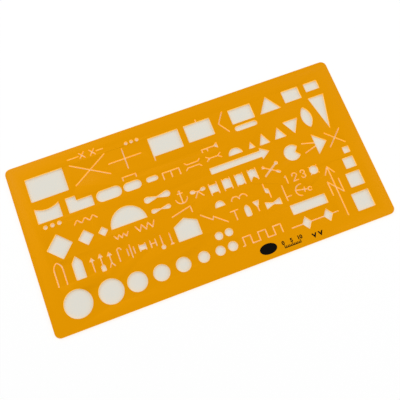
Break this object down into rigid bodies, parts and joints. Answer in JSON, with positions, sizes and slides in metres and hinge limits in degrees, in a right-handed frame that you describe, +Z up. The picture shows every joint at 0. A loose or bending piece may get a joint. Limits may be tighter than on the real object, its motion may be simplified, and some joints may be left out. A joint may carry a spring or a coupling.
{
  "type": "drawing template",
  "caption": "Thin flat rectangular plastic drawing template with rounded corners, cut through with geometric shapes and map symbols that a pen traces.",
  "frame": {"origin": "on the underside of the sheet, under the middle of its outline", "axes": "+X along the sheet's length to the right as it is read, +Y across its width to the top edge, +Z up out of the printed face"},
  "size_m": [0.21, 0.106, 0.0012],
  "materials": {
    "orange_plastic": "clear-tinted saturated orange, smooth and glossy, with paler cut edges",
    "black_ink": "matte black screen print"
  },
  "bodies": {
    "root": {"template_plate": "orange_plastic", "printed_oval": "black_ink", "printed_scale": "black_ink", "printed_pointer_left": "black_ink", "printed_pointer_right": "black_ink"}
  },
  "joints": []
}
